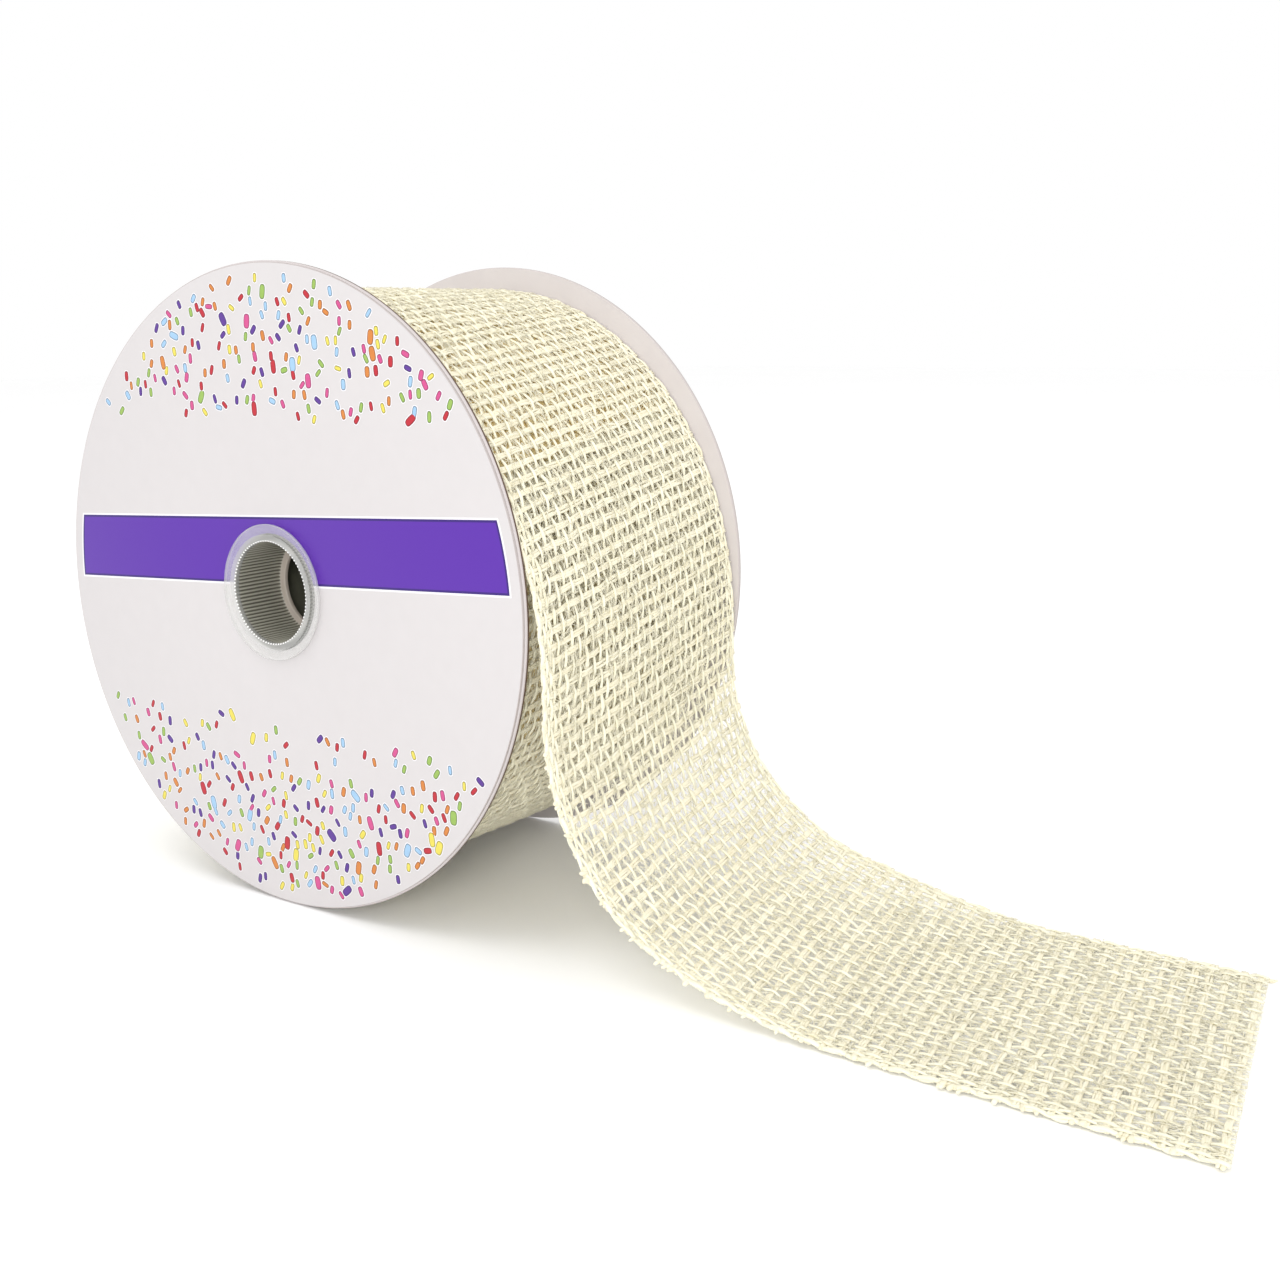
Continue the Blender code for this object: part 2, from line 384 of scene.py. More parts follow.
ALONG_Y, ROUND_XZ = (6000, 350, 6000), (350, 6000, 350)
CREAM, STRAW = paint(242, 238, 218), paint(228, 219, 188)
WARP_CREAM, WARP_STRAW = paint(245, 242, 222), paint(233, 227, 199)
# Painted shade: warmer, deeper copies of the jute colour for the turn under the last one.
SHADED_CREAM, SHADED_STRAW = paint(254, 238, 190), paint(247, 224, 162)
weft_jute = thread_finish("jute_weft", ALONG_Y, CREAM, STRAW)
warp_jute = thread_finish("jute_warp", ROUND_XZ, WARP_CREAM, WARP_STRAW)
under_weft_painted_shade = thread_finish("jute_under_weft", ALONG_Y, SHADED_CREAM, SHADED_STRAW)
under_warp_painted_shade = thread_finish("jute_under_warp", ROUND_XZ, SHADED_CREAM, SHADED_STRAW)
print("four thread finishes")

# %% [markdown]
# ## Setting up the loom
# A picture of a weave goes flat from close by, so the threads are real. Wefts cross the
# ribbon every 2.5 mm as broad flat bundles. Warps are thinner, 2 mm apart, and close up
# at both edges into a firm selvedge. The weft leans: its front end is ahead.

# %% The loom
PITCH = TAIL_LENGTH / 82
FIRST_ROW, LAST_ROW = -126, 82
front_band = np.array([0.45, 1.35, 2.25, 3.2]) * MM
rear_band = RIBBON_WIDTH - np.array([2.5, 1.45, 0.45]) * MM
WARP_AT = np.concatenate([front_band, np.linspace(4.9 * MM, rear_band[0] - 1.8 * MM, 28), rear_band])
WARPS = len(WARP_AT)
dice = np.random.default_rng(11)
ROWS = LAST_ROW - FIRST_ROW + 2
loose = swell(WARP_AT, 2 * MM, 7 * MM)[:, None] * 0.8 + 0.2
warp_wander = loose * dice.normal(0, 0.14, (WARPS, ROWS)) * MM
warp_girth = 1 + dice.normal(0, 0.15, (WARPS, ROWS)) + 0.4 * (WARP_AT < 1 * MM)[:, None]


def between(table, row):
    """Values of a table of one row per thread, eased between its columns."""
    low = np.clip(np.floor(row).astype(int), 0, table.shape[1] - 2)
    share = swell(row - low, 0, 1)
    return table[:, low] * (1 - share) + table[:, low + 1] * share


def lead(across):
    return CUT_SKEW * (RIBBON_WIDTH / 2 - across)


def soft_noise(dice, tubes, steps, knots):
    """One smooth random line for each tube, about -1 to 1."""
    return between(dice.normal(0, 0.5, (tubes, knots + 1)), np.linspace(0, knots - 0.001, steps))


print(WARPS, "warps and", LAST_ROW - FIRST_ROW, "wefts,", round(PITCH / MM, 3), "mm apart")

# %% [markdown]
# ## Weaving
# In plain weave each weft goes over one warp and under the next, and its neighbour does
# the opposite. So both threads rise and fall by a cosine of the crossing's number, with
# opposite signs. At the edges the weft turns back, which leaves small loops.

# %% Wefts, warps, loops and loose fibres
STRANDS = 3


def weft_threads(rows, place, dice, step, sides):
    """Each weft is an untwisted bundle: strands side by side that wander a little."""
    across = np.linspace(0.1 * MM, RIBBON_WIDTH - 0.1 * MM, int(RIBBON_WIDTH / step) + 1)
    crossing = np.interp(across, WARP_AT, np.arange(WARPS))
    count, total = len(rows), len(rows) * STRANDS
    drift = dice.normal(0, 0.10 * MM, (count, 1)) + soft_noise(dice, count, len(across), 14) * 0.22 * MM
    bundle = np.repeat(drift, STRANDS, 0)
    beside = np.tile((np.arange(STRANDS) - (STRANDS - 1) / 2) * 0.33 * MM, count)[:, None]
    wander = soft_noise(dice, total, len(across), 22) * 0.18 * MM
    row = np.repeat(rows, STRANDS)[:, None]
    along = (row + 0.5) * PITCH + lead(across) + bundle + beside + wander
    lift = (0.14 * np.cos(math.pi * (crossing + row)) + 0.07 * soft_noise(dice, total, len(across), 30)) * MM
    centres, outward = place(along, across + 0 * along, lift)
    girth = 1 + 0.30 * soft_noise(dice, total, len(across), 24)
    return swept(centres, outward, 0.27 * MM * girth, 0.19 * MM * girth, sides)


def warp_threads(first, last, place, row_zero, steps_per_row, sides):
    row = np.linspace(first, last, (last - first) * steps_per_row + 1)
    at = row - 0.5 - row_zero
    across = WARP_AT[:, None] + between(warp_wander, np.clip(at, 0, ROWS - 1.001))
    along = row * PITCH + lead(across)
    lift = -0.20 * MM * np.cos(math.pi * (row - 0.5 + np.arange(WARPS)[:, None]))
    centres, outward = place(along, across, lift)
    girth = between(warp_girth, np.clip(at, 0, ROWS - 1.001))
    return swept(centres, outward, 0.34 * MM * girth, 0.20 * MM * girth, sides)


def edge_loops(rows, place, dice):
    """The weft's turns: over the front edge after even rows, over the rear one after odd ones."""
    sweep = np.linspace(-math.pi / 2, math.pi / 2, 9)
    along = (rows[:, None] + 1) * PITCH + PITCH / 2 * np.sin(sweep)
    front = rows[:, None] % 2 == 0
    edge = np.where(front, 0.0, RIBBON_WIDTH)
    middle, _ = place(along, edge + 0 * along, 0 * along)
    from_axis = np.hypot(middle[..., 0] - AXIS_X, middle[..., 2] - AXIS_Z)
    clear = swell(from_axis, 61 * MM, 65 * MM)
    # Between the flanges a turn has only the gap to bulge into.
    reach = (0.1 + clear * dice.uniform(0, 0.2, (len(rows), 1))) * MM
    across = edge + np.where(front, -1, 1) * (reach * np.cos(sweep) - 0.35 * MM)
    lift = dice.normal(0, 0.2 * MM, (len(rows), 1)) * np.cos(sweep)
    centres, outward = place(along + lead(edge + 0 * along), across, lift)
    half = (0.26 + 0.10 * np.cos(sweep) * dice.uniform(0, 1, (len(rows), 1))) * MM
    return swept(centres, outward, half, half * 0.85, 6)


def edge_knobs(rows, place, dice):
    """Stubs of yarn that stand out of the front edge, wherever no flange is in the way."""
    spots = dice.uniform(rows[0], rows[-1] + 1, (len(rows), 1)) * PITCH
    middle, _ = place(spots, 0 * spots, 0 * spots)
    from_axis = np.hypot(middle[..., 0] - AXIS_X, middle[..., 2] - AXIS_Z)
    clear = swell(from_axis, 62 * MM, 66 * MM)
    steps = np.linspace(0, 1, 6)
    reach = clear * dice.uniform(0.2, 1.1, (len(rows), 1)) * MM
    across = 0.9 * MM - steps * (0.9 * MM + reach)
    along = spots + lead(0) + dice.normal(0, 0.4, (len(rows), 1)) * MM * steps
    centres, outward = place(along, across, dice.normal(0, 0.15 * MM, (len(rows), 1)) + 0 * steps)
    half = dice.uniform(0.28, 0.5, (len(rows), 1)) * MM * np.array([0.6, 0.8, 1, 1.1, 1.0, 0.5])
    return swept(centres, outward, half, half * 0.8, 6)


FIBRES_PER_ROW = 230


def loose_fibres(rows, place, dice, count):
    """Fine hairs that have worked out of the threads. Half of them still lie along the warps."""
    steps = np.linspace(0, 1, 5)
    row = dice.uniform(rows[0], rows[-1] + 1, (count, 1))
    across = dice.uniform(1 * MM, RIBBON_WIDTH - 1 * MM, (count, 1))
    combed = dice.random((count, 1)) < 0.5
    heading = np.where(combed, dice.choice([0, math.pi], (count, 1)) + dice.normal(0, 0.25, (count, 1)),
                       dice.uniform(0, math.tau, (count, 1)))
    heading = heading + dice.normal(0, 1, (count, 1)) * np.where(combed, 0.3, 1.1) * steps
    reach = dice.uniform(1.0, 3.4, (count, 1)) * MM * steps
    across = np.clip(across + reach * np.sin(heading), 0.2 * MM, RIBBON_WIDTH - 0.2 * MM)
    along = np.clip(row * PITCH + reach * np.cos(heading), rows[0] * PITCH, (rows[-1] + 1) * PITCH)
    start_lift = dice.uniform(-0.2, 0.3, (count, 1))
    lift = (start_lift + dice.uniform(0, 0.4, (count, 1)) * np.sin(math.pi * steps)) * MM
    centres, outward = place(along + lead(across), across, lift)
    thin = 0.075 * MM * (1 - 0.5 * steps) + 0 * along
    return swept(centres, outward, thin, thin, 3)


def fibre_piece(name, first, last, place, seed, finishes):
    """The loose fibres of one length of ribbon, as a mesh of their own."""
    dice = np.random.default_rng(seed + 100)
    rows = np.arange(first, last)
    points, faces = loose_fibres(rows, place, dice, FIBRES_PER_ROW * len(rows))
    piece = mesh_piece(f"{name}_fibres", points.tolist(), faces, finishes)
    shade = piece.data.attributes.new("thread_shade", "FLOAT", "POINT")
    shade.data.foreach_set("value", np.ones(len(points), np.float32))
    return piece


def woven(name, first, last, place, seed, finishes, quality):
    """A length of ribbon from one row of weft to another, as one mesh of closed threads."""
    dice = np.random.default_rng(seed)
    rows = np.arange(first, last)
    weft_step, weft_sides, steps_per_row, warp_sides = quality
    row_zero = FIRST_ROW if place is on_ribbon else 0
    groups = [
        (weft_threads(rows, place, dice, weft_step, weft_sides), 0),
        (warp_threads(first, last, place, row_zero, steps_per_row, warp_sides), 1),
        (edge_loops(rows, place, dice), 0),
    ]
    if place is on_ribbon:
        groups.append((edge_knobs(rows, place, dice), 0))
    points, faces, slots, shades = [], [], [], []
    start = 0
    for (some_points, some_faces), slot in groups:
        faces += [[corner + start for corner in face] for face in some_faces]
        slots += [slot] * len(some_faces)
        grain = dice.uniform(0, 1, len(some_points) // 400 + 2)
        shades.append(np.interp(np.arange(len(some_points)), np.arange(len(grain)) * 400, grain))
        points.append(some_points)
        start += len(some_points)
    piece = mesh_piece(name, np.concatenate(points).tolist(), faces, finishes, slots)
    shade = piece.data.attributes.new("thread_shade", "FLOAT", "POINT")
    shade.data.foreach_set("value", np.concatenate(shades).astype(np.float32))
    piece.data.calc_loop_triangles()
    print(name, "rows", first, "to", last, len(piece.data.loop_triangles), "triangles")
    return piece


# %% [markdown]
# ## Cutting the ribbon where it bends
# The ribbon is one strip, made in lengths. The lengths of the last turn and of the hanging part go with the
# ribbon's body, and the foot and the tip are two more lengths that stay where they are made. The cuts run
# along the weft, so no seam shows.

# %% The visible ribbon
FINE = (0.60 * MM, 5, 5, 6)
JUTE = [weft_jute, warp_jute]
cuts = [-126, -101, -76, -51, -26, 0, 21, 42]
lengths = [
    (f"{'turn' if last <= 0 else 'hanging'}_weave_{number}", first, last,
     "ribbon_last_turn" if last <= 0 else "ribbon_takeoff")
    for number, (first, last) in enumerate(zip(cuts, cuts[1:]), 1)
]
for seed, (name, first, last, node) in enumerate(lengths, 21):
    piece = woven(name, first, last, on_ribbon, seed, JUTE, FINE)
    fibres = fibre_piece(name, first, last, on_ribbon, seed, JUTE)
    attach(piece, "ribbon")
    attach(fibres, "ribbon")
    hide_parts(node)
    (last - first) * PITCH
    "laid" if last <= 0 else "hung"

foot_weave = woven("foot_weave", 42, 60, on_ribbon, 31, JUTE, FINE)
foot_fibres = fibre_piece("foot_weave", 42, 60, on_ribbon, 31, JUTE)
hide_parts("ribbon_tail")
18 * PITCH
tip_weave = woven("tip_weave", 60, 82, on_ribbon, 32, JUTE, FINE)
tip_fibres = fibre_piece("tip_weave", 60, 82, on_ribbon, 32, JUTE)
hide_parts("ribbon_end")
22 * PITCH


def bend_at(piece):
    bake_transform(piece)


for piece in (foot_weave, foot_fibres):
    bend_at(piece)
for piece in (tip_weave, tip_fibres):
    bend_at(piece)

# %% [markdown]
# ## The turns underneath
# Through the open weave the next turn shows, and through that the rest of the roll. One more woven turn goes
# under the last one, and the other forty or so are a plain core. Both wear warmer, deeper straw copies of
# the jute colour: painted shade, warmed for the light that bounces between the turns.

# %% The roll
UNDER_ROWS = 2 * round(math.pi * UNDER_RADIUS / PITCH)
half_way = UNDER_ROWS // 2
ROLL_HALVES = [("roll_weave_a", 0, half_way, 41), ("roll_weave_b", half_way, UNDER_ROWS, 42)]
for name, first, last, seed in ROLL_HALVES:
    piece = woven(name, first, last, on_roll, seed, [under_weft_painted_shade, under_warp_painted_shade], (1.0 * MM, 4, 4, 4))
    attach(piece, "spool")
    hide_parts("ribbon_roll")
    (last - first) * PITCH

roll_low, roll_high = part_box("ribbon_roll")
_, tube_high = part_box("core_tube")
# Painted shade: the core wears a warm, deep straw copy of the jute colour.
core_jute_painted_shade = Finish("jute_in_shade", {"Roughness": 0.9})
weave_shade = core_jute_painted_shade.noise((500, 500, 500), 1.0)
core_tone_painted_shade = core_jute_painted_shade.mix(weave_shade, paint(252, 230, 170), paint(254, 238, 192))
core_jute_painted_shade.feed(core_jute_painted_shade.shader, {"Base Color": core_tone_painted_shade})
core_jute_painted_shade.bump(weave_shade, 0.4 * MM)
core_out = UNDER_RADIUS - 0.22 * MM
TAPE_ROOM = 0.75 * MM
core_in = tube_high.z - AXIS_Z + TAPE_ROOM
core_profile = [
    (core_in, roll_low.y), (core_out, roll_low.y), (core_out, roll_high.y), (core_in, roll_high.y),
]
wound_core = turned("wound_core", rounded(core_profile, 0.5 * MM), 192, [core_jute_painted_shade.material])
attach(wound_core, "spool")
print("under turn of", UNDER_ROWS, "rows at radius", round(UNDER_RADIUS, 5))

# %% [markdown]
# ## Paperboard flanges
# Each flange is a die-cut disc of white-lined board. Its face is smooth with a slight
# mottle, and its cut edge shows the grey-brown fibre inside. One finish does both: the
# colour changes with the distance from the axis, just at the rim.

# %% Flanges
front_low, front_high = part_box("front_flange")
rear_low, rear_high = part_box("rear_flange")
FLANGE_RADIUS = front_high.z - AXIS_Z
HUB_HOLE = 10.9 * MM
TURNED_STEPS = 256


def from_axis(finish):
    """(rightward, upward, distance) of a point from the spool's axis, as wires."""
    where = finish.place()
    right = finish.along(where, "X") - AXIS_X
    up = finish.along(where, "Z") - AXIS_Z
    return right, up, (right * right + up * up).root()


def board_finish(name, brown_from, deep):
    """White-lined board whose cut edge is deep in colour from one depth on."""
    board = Finish(name, {"Roughness": 0.62})
    _, _, distance = from_axis(board)
    mottle = board.noise((160, 160, 160), 1.0, 5.0)
    face = board.mix(mottle, paint(199, 192, 191), paint(206, 200, 199))
    cut_edge = distance > FLANGE_RADIUS - 0.12 * MM
    ply = (board.along(board.place(), "Y") > brown_from) * cut_edge
    edge = board.mix(cut_edge, face, paint(190, 182, 181))
    board.feed(board.shader, {"Base Color": board.mix(ply, edge, deep)})
    board.bump(mottle, 0.03 * MM, 0.5)
    return board.material


def flange(name, low, high, node, deep):
    profile = [(HUB_HOLE, low.y), (FLANGE_RADIUS, low.y), (FLANGE_RADIUS, high.y), (HUB_HOLE, high.y)]
    material = board_finish(f"{name}_finish", low.y + 0.4 * (high.y - low.y), deep)
    piece = turned(name, rounded(profile, 0.16 * MM), TURNED_STEPS, [material])
    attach(piece, "spool")
    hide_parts(node)


flange("front_board", front_low, front_high, "front_flange", paint(86, 64, 50))
flange("rear_board", rear_low, rear_high, "rear_flange", paint(178, 170, 166))
print("flanges", round(2 * FLANGE_RADIUS, 4), "m across")

# %% [markdown]
# ## The printed label
# A paper disc covers the front board: a plain purple stripe across the hub, and bands of
# confetti above and below. The stripe is a sum of distances in the finish. The stripe
# tilts a little, because the label was stuck on slightly turned.

# %% Label finish
label_low, label_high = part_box("front_label")
LABEL_RADIUS = label_high.z - AXIS_Z
TILT = math.radians(2.97)
STRIPE_LOW, STRIPE_HIGH, STRIPE_REACH = 1.5 * MM, 13.9 * MM, 57.2 * MM

label = Finish("printed_label", {"Roughness": 0.42, "Coat Roughness": 0.3})
right, up, distance = from_axis(label)
height = up * math.cos(TILT) - right * math.sin(TILT)
middle, half = (STRIPE_LOW + STRIPE_HIGH) / 2, (STRIPE_HIGH - STRIPE_LOW) / 2
from_middle = (height - middle).size()


def stripe_mask(grow):
    return (from_middle < half + grow) * (distance < STRIPE_REACH + grow)


paper_grain = label.noise((300, 300, 300), 1.0, 4.0)
paper = label.mix(paper_grain, paint(195, 191, 191), paint(199, 195, 195))
surround = label.mix(stripe_mask(0.35 * MM), paper, paint(226, 224, 227))
edged = label.mix(stripe_mask(0.0), surround, paint(44, 4, 108))
printed = label.mix(stripe_mask(-0.42 * MM), edged, paint(78, 22, 152))
label_rim = distance > LABEL_RADIUS - 0.12 * MM
label.feed(label.shader, {"Base Color": label.mix(label_rim, printed, paint(176, 168, 166))})
label.bump(paper_grain, 0.02 * MM, 0.4)

# The paper is drawn down to the board, which closes the solid model's clearance behind it.
paper_back = front_low.y - 0.01 * MM
label_profile = [
    (HUB_HOLE, label_low.y), (LABEL_RADIUS, label_low.y), (LABEL_RADIUS, paper_back), (HUB_HOLE, paper_back),
]
label_disc = turned("printed_label", rounded(label_profile, 0.05 * MM), TURNED_STEPS, [label.material])
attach(label_disc, "spool")
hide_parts("front_label")
print("label radius", round(LABEL_RADIUS, 5))

# %% [markdown]
# ## Confetti
# The confetti is a made-up scatter: each spot is thrown at random and kept only if it
# lands in a band and clear of the others. A spot is three thin films of ink, a white
# halo, a darker outline and the colour, each a few hundredths of a millimetre proud.

# %% Confetti
INKS = {
    "pink": (186, 62, 122), "orange": (190, 112, 40), "sky": (140, 176, 206), "lemon": (206, 192, 72),
    "plum": (74, 34, 128), "red": (168, 16, 34), "leaf": (132, 164, 72),
}
halo_ink = Finish("ink_white", {"Base Color": paint(226, 224, 227), "Roughness": 0.4})
ink_finishes = [halo_ink.material]
for ink, colour in INKS.items():
    for part, share in (("edge", 0.64), ("fill", 1.0)):
        made = Finish(f"ink_{ink}_{part}", {"Roughness": 0.38})
        speck = made.noise((900, 900, 900), 1.0)
        tone = paint(*[level * share for level in colour])
        pale = paint(*[min(255, level * share + 14) for level in colour])
        made.feed(made.shader, {"Base Color": made.mix(speck, tone, pale)})
        ink_finishes.append(made.material)


def throw_confetti(count, low, high, dice):
    """(right, up, half length, half width, turn) of spots in a band, denser at the rim."""
    kept = []
    while len(kept) < count:
        x, z = dice.uniform(-1, 1, 2) * LABEL_RADIUS
        distance = math.hypot(x, z)
        inside = low < z < high and distance < LABEL_RADIUS - 2.2 * MM
        wanted = dice.random() < 0.25 + 0.75 * swell(abs(z), 26 * MM, 46 * MM)
        if not (inside and wanted):
            continue
        if any(math.hypot(x - spot[0], z - spot[1]) < 1.7 * MM for spot in kept):
            continue
        long = dice.choice([0.86, 0.92, 1.0, 1.35], p=[0.4, 0.3, 0.22, 0.08]) * MM
        kept.append((x, z, long, long * dice.uniform(0.5, 0.62), math.pi / 2 + dice.normal(0, 0.5)))
    return kept


def confetti(spots, dice):
    around = np.linspace(0, math.tau, 16, endpoint=False)
    # A circle's sine and cosine raised to a power below 1 fill out into a rounded block.
    right, up = (np.sign(wave) * np.abs(wave) ** 0.65 for wave in (np.cos(around), np.sin(around)))
    points, faces, slots = [], [], []
    for rank, (x, z, long, wide, turn) in enumerate(spots):
        ink = dice.integers(len(INKS))
        # Each spot sits a hair above the one before it, so overlapping films seldom share a height.
        above = 0.00008 * rank
        films = [(0.15, 0.010, 0), (0.0, 0.018, 1 + 2 * ink), (-0.17, 0.026, 2 + 2 * ink)]
        for grow, proud, slot in films:
            a = (long + grow * MM) * right
            b = (wide + grow * MM) * up
            across, rise = a * math.cos(turn) - b * math.sin(turn), a * math.sin(turn) + b * math.cos(turn)
            start = len(points)
            for depth in (0.004, -proud - above):
                y = label_low.y + depth * MM
                points += [(AXIS_X + x + i, y, AXIS_Z + z + j) for i, j in zip(across, rise)]
            ring = len(around)
            faces.append([start + i for i in range(ring)][::-1])
            faces.append([start + ring + i for i in range(ring)])
            for i in range(ring):
                after = (i + 1) % ring
                faces.append([start + i, start + after, start + ring + after, start + ring + i])
            slots += [slot] * (ring + 2)
    return points, faces, slots


dice = np.random.default_rng(5)
spots = throw_confetti(180, 32 * MM, 58 * MM, dice) + throw_confetti(260, -58 * MM, -25 * MM, dice)
ink_points, ink_faces, ink_slots = confetti(spots, dice)
confetti_print = mesh_piece("confetti_print", ink_points, ink_faces, ink_finishes, ink_slots)
confetti_print.data.set_sharp_from_angle(angle=math.radians(30))
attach(confetti_print, "spool")
print(len(spots), "spots of confetti")

# %% [markdown]
# ## Hub plugs
# Each plug is one thin moulding: a collar that clamps the board, a fluted barrel in the
# core and a stop lip. It is milky, so the stripe shows faintly through the collar. The
# flutes are in the mesh, because their ends sparkle round the bore.

# %% Hub plugs
def milky(name, cloudy, clear, solid):
    """Translucent plastic. solid is how much of the light it stops, from 0 to 1."""
    finish = Finish(name, {"Roughness": 0.22, "IOR": 1.47})
    haze = finish.noise((250, 250, 250), 1.0, 2.0)
    finish.feed(finish.shader, {"Base Color": finish.mix(haze, cloudy, clear)})
    if solid < 1:
        finish.feed(finish.shader, {"Alpha": haze * 0.04 + (solid - 0.02)})
    return finish.material


def barrel_plastic():
    """The barrel is painted grey, partly for the grey core behind the plastic and partly as painted shade of
    the bore; each groove is painted darker, as painted shade.
    """
    finish = Finish("barrel_plastic", {"Roughness": 0.3, "IOR": 1.47})
    right, up, _ = from_axis(finish)
    # Painted shade: the colour darkens in every groove.
    groove_shade = (up.math("ARCTAN2", up, right) * FLUTES).cosine() * 0.5 + 0.5
    finish.feed(finish.shader, {"Base Color": finish.mix(groove_shade, paint(172, 170, 157), paint(84, 82, 72))})
    return finish.material


FLUTES, FLUTE_DEPTH = 88, 0.26 * MM
PLUG_FINISHES = [
    milky("collar_plastic", paint(226, 226, 223), paint(236, 236, 233), 0.20),
    barrel_plastic(),
    # Painted shade: the lip, deep in the bore, is painted darker than the collar of the same plastic.
    milky("lip_plastic", paint(178, 167, 156), paint(190, 180, 169), 1),
    # Painted highlight: the rib-end beads are painted lighter than the collar of the same plastic, so they
    # glint round the mouth.
    milky("bead_plastic", paint(244, 244, 242), paint(250, 250, 249), 1),
    milky("rim_plastic", paint(204, 204, 201), paint(214, 214, 211), 0.45),
]
_, plug_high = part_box("front_hub_plug")
COLLAR_RADIUS = plug_high.z - AXIS_Z
BORE, BARREL, LIP = 9.5 * MM, 10.55 * MM, 8.15 * MM
LABEL_FACE, COLLAR_GAP, COLLAR_THICKNESS = abs(label_low.y), 0.3 * MM, 0.7 * MM
lip_out, lip_in = LABEL_FACE - 10 * MM, LABEL_FACE - 10.9 * MM
BEAD_CIRCLE, BEAD_RADIUS = 9.62 * MM, 0.19 * MM
FLUTE_STEPS = 8
MOUTH_WIDTH = 1.3 * MM


def flutes(angle, profile):
    """Grooves along the bore, which fade out just before its mouth and its lip."""
    in_bore = np.abs(profile[:, 0] - BORE) < 0.05 * MM
    depth = np.abs(profile[:, 1])
    past_mouth = swell(depth, LABEL_FACE + 0.2 * MM, LABEL_FACE + 0.7 * MM)
    faded = swell(depth, lip_out, lip_out + 0.6 * MM) * (1 - past_mouth)
    return FLUTE_DEPTH * (0.5 + 0.5 * np.cos(FLUTES * angle)) * np.where(in_bore, faded, 0)


def rib_ends(name, y):
    """The rounded front end of each rib, as a ring of beads half sunk in the mouth."""
    beads = bmesh.new()
    for angle in (np.arange(FLUTES) + 0.5) * math.tau / FLUTES:
        at = Vector((AXIS_X + BEAD_CIRCLE * math.cos(angle), y, AXIS_Z + BEAD_CIRCLE * math.sin(angle)))
        bmesh.ops.create_icosphere(beads, subdivisions=1, radius=BEAD_RADIUS, matrix=Matrix.Translation(at))
    mesh = bpy.data.meshes.new(name)
    beads.to_mesh(mesh)
    beads.free()
    mesh.materials.append(PLUG_FINISHES[3])
    mesh.shade_smooth()
    piece = bpy.data.objects.new(name, mesh)
    bpy.context.scene.collection.objects.link(piece)
    return piece


def hub_plug(name, side, node):
    face, nose = LABEL_FACE + COLLAR_GAP, LABEL_FACE + COLLAR_GAP + COLLAR_THICKNESS
    outside = [(COLLAR_RADIUS, nose), (COLLAR_RADIUS, face), (BARREL, face), (BARREL, lip_in), (LIP, lip_in),
               (LIP, lip_out)]
    profile = rounded(outside + [(BORE, lip_out), (BORE, nose)], 0.22 * MM)
    mouth = len(profile) - 4
    along_bore = [(BORE, y) for y in np.linspace(lip_out + 0.3 * MM, nose - 0.3 * MM, 14)]
    profile = np.concatenate([profile[:mouth], along_bore, profile[mouth:], [(BORE + MOUTH_WIDTH, nose)]])
    profile[:, 1] *= side
    edge_middle = (profile + np.roll(profile, -1, 0)) / 2
    radius, depth = edge_middle[:, 0], np.abs(edge_middle[:, 1])
    collar = np.where((radius > COLLAR_RADIUS - 0.1 * MM) | (radius < BORE + 1.2 * MM), 4, 0)
    slots = np.where(depth > LABEL_FACE + 0.1 * MM, collar, np.where(radius < BORE - 0.1 * MM, 2, 1))
    piece = turned(name, profile, FLUTES * FLUTE_STEPS, PLUG_FINISHES, flutes, slots)
    beads = rib_ends(f"{name}_beads", side * (nose - 0.12 * MM))
    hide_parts(node)
    for part in (piece, beads):
        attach(part, "spool")


hub_plug("front_plug", -1, "front_hub_plug")
hub_plug("rear_plug", 1, "rear_hub_plug")
print("collar", round(2 * COLLAR_RADIUS, 4), "m across")

# %% [markdown]
# ## Core tube and start tape
# Both are inside, and their solids already have the right shape, so they keep it and get
# finishes: wound grey-brown board for the tube, and a buff tape that holds the first turn.

# %% Core and tape
core_board = Finish("core_board", {"Roughness": 0.8})
plies = core_board.noise((300, 900, 300), 1.0, 4.0)
board_tone = core_board.mix(plies, paint(70, 70, 58), paint(92, 92, 76))
core_board.feed(core_board.shader, {"Base Color": board_tone})
core_board.bump(plies, 0.1 * MM, 0.6)
tape = Finish("buff_tape", {"Roughness": 0.3, "Coat Weight": 0.3})
creases = tape.noise((120, 400, 120), 1.0)
tape.feed(tape.shader, {"Base Color": tape.mix(creases, paint(196, 176, 130), paint(214, 198, 156))})
tape.bump(creases, 0.03 * MM, 0.6)
for node, finish in (("core_tube", core_board), ("core_tape", tape)):
    mesh = frame["nodes"][node].data
    mesh.materials.clear()
    mesh.materials.append(finish.material)
print("two hidden pieces finished")

# %% [markdown]
# ## Table, light and camera
# The spool stands on a pale table under soft light from the front and from above. The camera looks
# from the front right, a little above the axis, with the lens of a short telephoto.

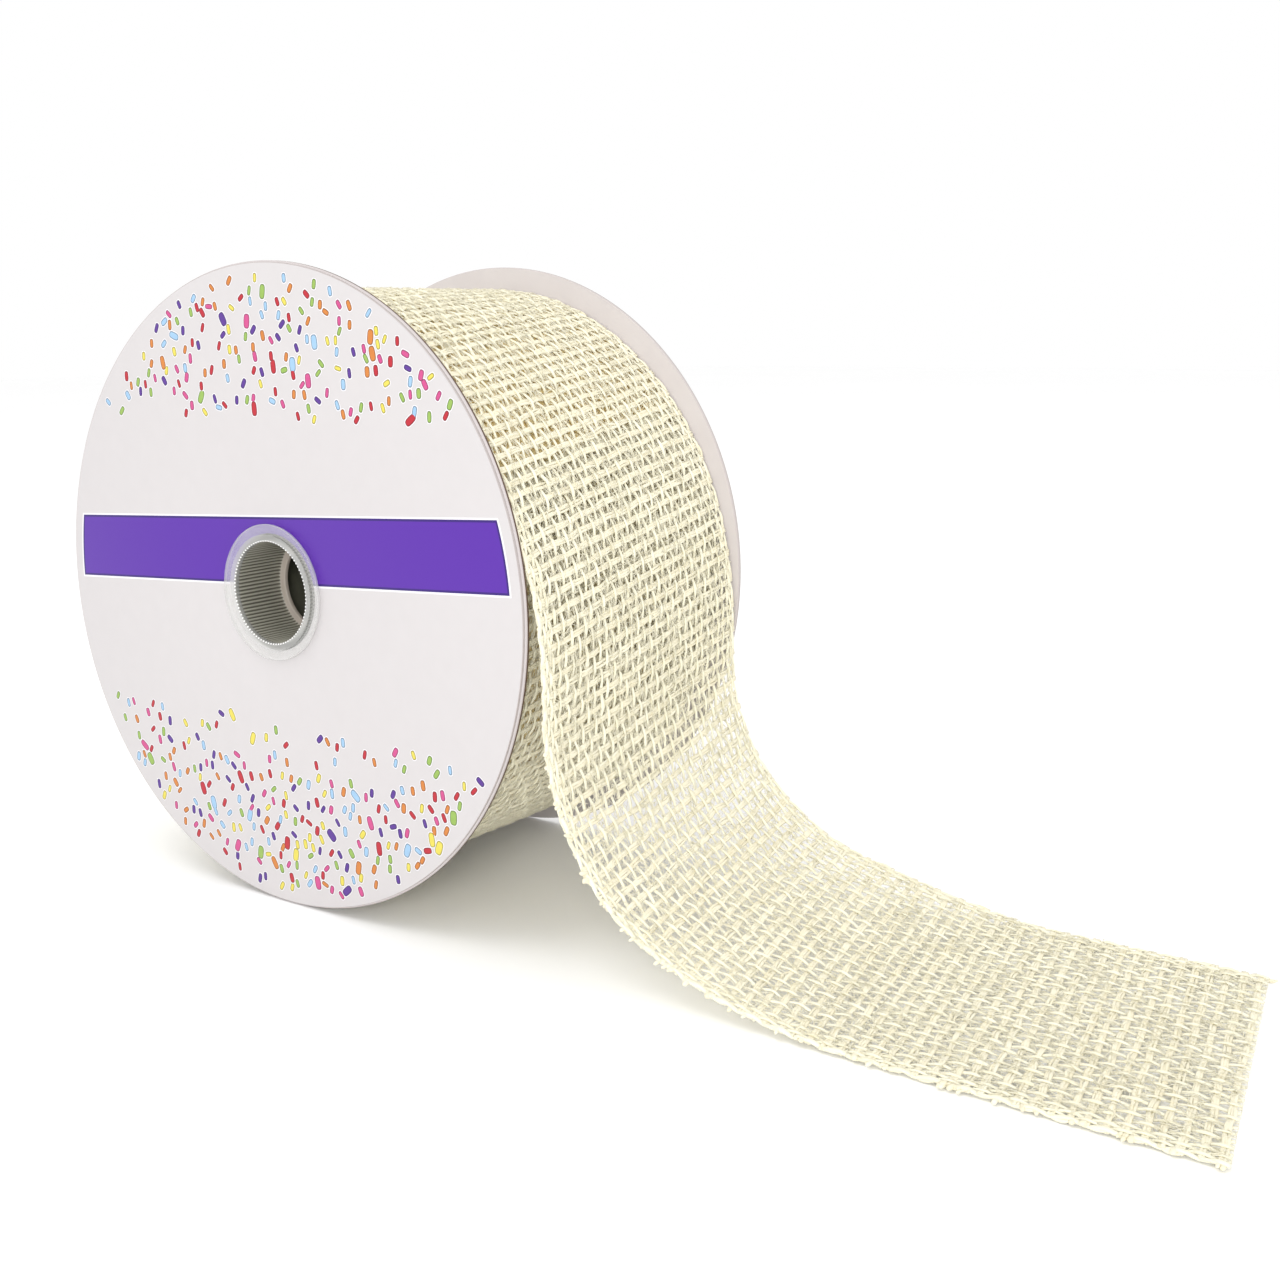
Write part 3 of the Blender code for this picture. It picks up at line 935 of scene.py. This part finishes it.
# %% Table and light
TABLE_SIZE = 6.0
floor_finish = Finish("pale_table", {"Roughness": 0.9})
speckle = floor_finish.noise((4, 4, 4), 1.0)
table_tone = floor_finish.mix(speckle, paint(253, 253, 253), paint(255, 255, 255))
floor_finish.feed(floor_finish.shader, {"Base Color": table_tone})
corner = TABLE_SIZE / 2
floor = mesh_piece(
    "table", [(-corner, -corner, 0), (corner, -corner, 0), (corner, corner, 0), (-corner, corner, 0)],
    [(0, 1, 2, 3)], [floor_finish.material],
)


def soft_light(name, place, aim, size, power):
    lamp = bpy.data.lights.new(name, "AREA")
    lamp.shape, lamp.size, lamp.energy = "DISK", size, power
    holder = bpy.data.objects.new(name, lamp)
    holder.location = place
    holder.rotation_mode = "QUATERNION"
    holder.rotation_quaternion = (Vector(aim) - Vector(place)).to_track_quat("-Z", "Y")
    bpy.context.scene.collection.objects.link(holder)


soft_light("front_light", (0.57, -0.79, 0.34), (0, 0, 0.05), 0.35, 4.0)
soft_light("top_light", (-0.15, -0.45, 1.05), (0, 0, 0.04), 0.6, 2.4)
world = bpy.data.worlds.new("studio")
world.use_nodes = True
world.node_tree.nodes["Background"].inputs["Color"].default_value = (1, 1, 1, 1)
world.node_tree.nodes["Background"].inputs["Strength"].default_value = 1.0
bpy.context.scene.world = world
bpy.context.scene.view_settings.view_transform = "Standard"

# %% Camera
AZIMUTH, ELEVATION, ROLL = (math.radians(angle) for angle in (35.75, 9.30, -0.75))
level = math.cos(ELEVATION)
look = Vector((-math.sin(AZIMUTH) * level, math.cos(AZIMUTH) * level, -math.sin(ELEVATION)))
level_right = look.cross(Vector((0, 0, 1))).normalized()
level_up = level_right.cross(look)
camera_right = math.cos(ROLL) * level_right + math.sin(ROLL) * level_up
camera_up = -math.sin(ROLL) * level_right + math.cos(ROLL) * level_up
eye = Vector((AXIS_X + 0.2218, label_low.y - 0.1925, 0.1082))
lens = bpy.data.cameras.new("camera")
lens.sensor_width, lens.lens, lens.shift_y = 36, 44.24, -0.047
lens.clip_start, lens.clip_end = 0.01, 20
camera = bpy.data.objects.new("camera", lens)
axes = Matrix((camera_right, camera_up, -look)).transposed()
camera.matrix_world = Matrix.Translation(eye) @ axes.to_4x4()
bpy.context.scene.collection.objects.link(camera)
bpy.context.scene.camera = camera
print("camera at", [round(value, 4) for value in eye])
